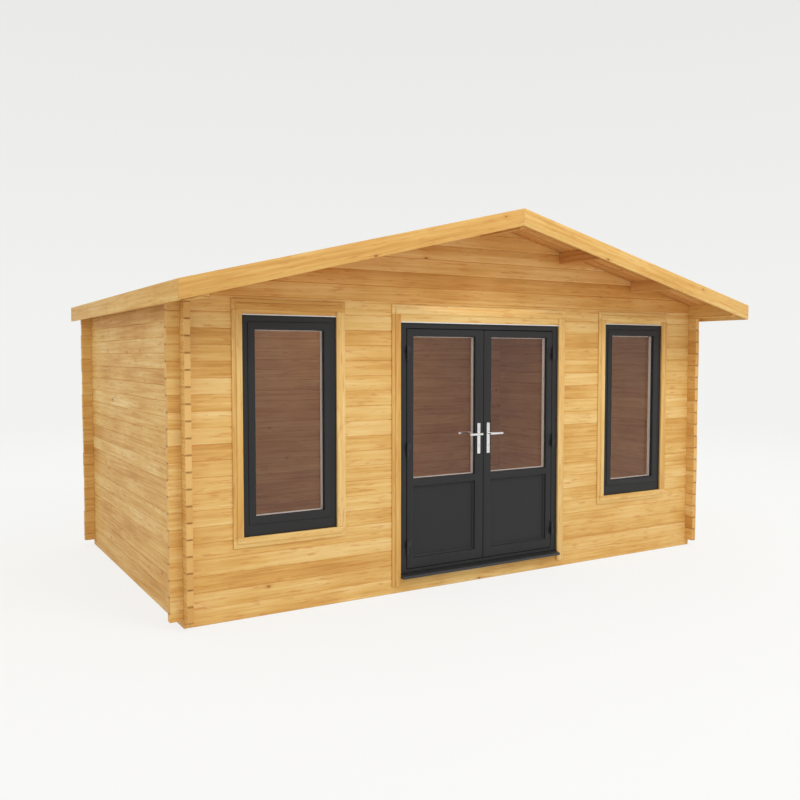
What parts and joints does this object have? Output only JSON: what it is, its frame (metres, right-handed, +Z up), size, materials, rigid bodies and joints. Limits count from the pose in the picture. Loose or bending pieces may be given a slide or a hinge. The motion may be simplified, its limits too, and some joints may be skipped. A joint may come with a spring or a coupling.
{
  "type": "log cabin",
  "caption": "Garden cabin of interlocking logs with crossed corners, low gable roof overhanging the front, glazed outward-opening double doors and tall windows.",
  "frame": {"origin": "on the ground under the middle of the roof's outline", "axes": "+X to the right when facing the doors, +Y from the front wall to the back wall, +Z up"},
  "size_m": [5.116, 3.494, 2.8561],
  "materials": {
    "pine_logs": "planed, untreated",
    "pine_boards": "planed, untreated",
    "roof_timber": "planed, untreated",
    "floor_timber": "planed, untreated",
    "roof_felt": "mineral coated, matte",
    "anthracite_frame": "satin",
    "hinge_metal": "satin",
    "chrome": "polished",
    "glass": "clear"
  },
  "bodies": {
    "cabin": {"front_wall_odd_logs": "pine_logs", "front_wall_even_logs": "pine_logs", "back_wall_odd_logs": "pine_logs", "back_wall_even_logs": "pine_logs", "left_wall_odd_logs": "pine_logs", "left_wall_even_logs": "pine_logs", "right_wall_odd_logs": "pine_logs", "right_wall_even_logs": "pine_logs", "floor_joists": "floor_timber", "floor_boards": "floor_timber", "ridge_purlin": "roof_timber", "left_purlins": "roof_timber", "right_purlins": "roof_timber", "left_roof_boards": "roof_timber", "right_roof_boards": "roof_timber", "left_roof_felt": "roof_felt", "right_roof_felt": "roof_felt", "front_left_bargeboard": "pine_boards", "front_right_bargeboard": "pine_boards", "back_left_bargeboard": "pine_boards", "back_right_bargeboard": "pine_boards", "left_eaves_fascia": "pine_boards", "right_eaves_fascia": "pine_boards", "trim_uprights": "pine_boards", "trim_heads": "pine_boards", "trim_aprons": "pine_boards", "left_window_frame": "anthracite_frame", "right_window_frame": "anthracite_frame", "left_window_sash": "anthracite_frame", "right_window_sash": "anthracite_frame", "door_frame": "anthracite_frame", "door_sill": "anthracite_frame", "left_window_glass": "glass", "right_window_glass": "glass", "frame_hinges": "hinge_metal"},
    "left_door": {"left_leaf_frame": "anthracite_frame", "left_leaf_glass": "glass", "left_leaf_panel": "anthracite_frame", "left_handle_plates": "chrome", "left_leaf_hinges": "hinge_metal"},
    "right_door": {"right_leaf_frame": "anthracite_frame", "right_leaf_glass": "glass", "right_leaf_panel": "anthracite_frame", "right_handle_plates": "chrome", "right_leaf_hinges": "hinge_metal"},
    "left_handle": {"left_lever": "chrome"},
    "right_handle": {"right_lever": "chrome"}
  },
  "joints": [
    {"name": "left_door_hinge", "type": "hinge", "parent": "cabin", "child": "left_door", "pos_m": [-0.708, -1.265, 1], "axis": [0, 0, -1], "range_deg": [0, 100]},
    {"name": "right_door_hinge", "type": "hinge", "parent": "cabin", "child": "right_door", "pos_m": [0.708, -1.265, 1], "axis": [0, 0, 1], "range_deg": [0, 100]},
    {"name": "left_lever_turn", "type": "hinge", "parent": "left_door", "child": "left_handle", "pos_m": [-0.046, -1.249, 1.167], "axis": [0, -1, 0], "range_deg": [0, 40], "stiffness_Nm_per_rad": 1.5, "springref_deg": -34.38},
    {"name": "right_lever_turn", "type": "hinge", "parent": "right_door", "child": "right_handle", "pos_m": [0.046, -1.249, 1.167], "axis": [0, 1, 0], "range_deg": [0, 40], "stiffness_Nm_per_rad": 1.5, "springref_deg": -34.38}
  ]
}
